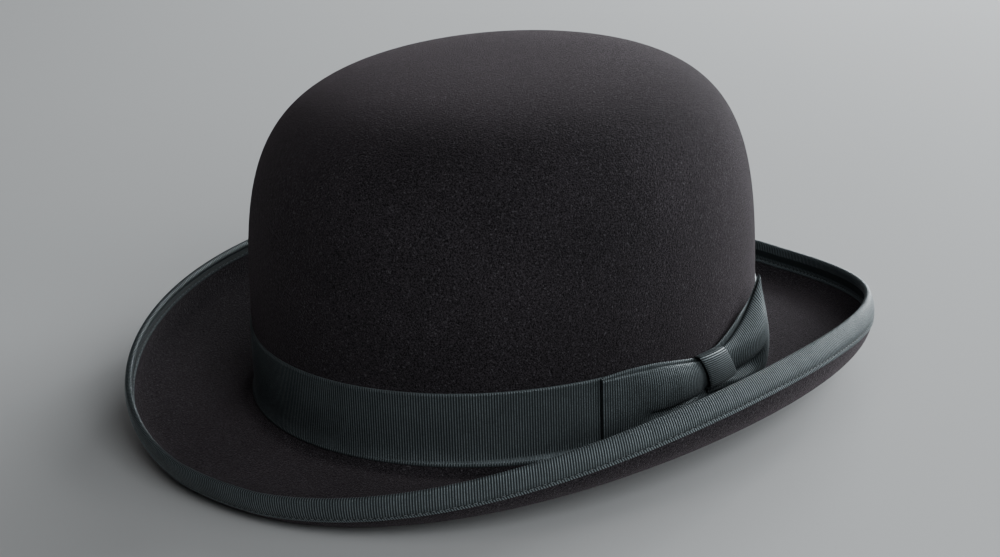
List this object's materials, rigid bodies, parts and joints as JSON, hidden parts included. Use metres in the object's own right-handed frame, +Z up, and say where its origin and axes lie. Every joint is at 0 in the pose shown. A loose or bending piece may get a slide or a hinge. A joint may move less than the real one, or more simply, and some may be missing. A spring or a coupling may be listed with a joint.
{
  "type": "bowler hat",
  "caption": "Stiff felt bowler hat with a rounded crown, rolled and ribbon-bound brim, side bow, leather sweatband and lining.",
  "frame": {"origin": "middle of the brim's length and width, on the surface the hat stands on", "axes": "+Z up the crown; -Y the way the wearer faces; +X the wearer's left, the side with the bow"},
  "size_m": [0.2602, 0.3104, 0.1279],
  "materials": {
    "felt": "short-nap black wool or fur felt, matt",
    "ribbon": "black grosgrain ribbon, soft sheen",
    "thread": "black sewing thread",
    "lining": "dark satin lining",
    "leather": "smooth dark brown roan leather",
    "reed": "cream plastic reed",
    "ticket": "blank cream paper"
  },
  "bodies": {
    "root": {"felt_body": "felt", "brim_binding": "ribbon", "binding_top_thread": "thread", "binding_under_thread": "thread", "hat_band": "ribbon", "bow_front_loop": "ribbon", "bow_rear_loop": "ribbon", "bow_knot": "ribbon", "bow_tack_thread": "thread", "lining_tip": "lining", "lining_side": "lining", "lining_seam_cord": "lining", "sweatband": "leather", "sweatband_thread": "thread", "sweatband_reed": "reed", "reed_tape": "ribbon", "inner_bow_left_loop": "ribbon", "inner_bow_right_loop": "ribbon", "inner_bow_knot": "ribbon", "size_ticket": "ticket"}
  },
  "joints": []
}
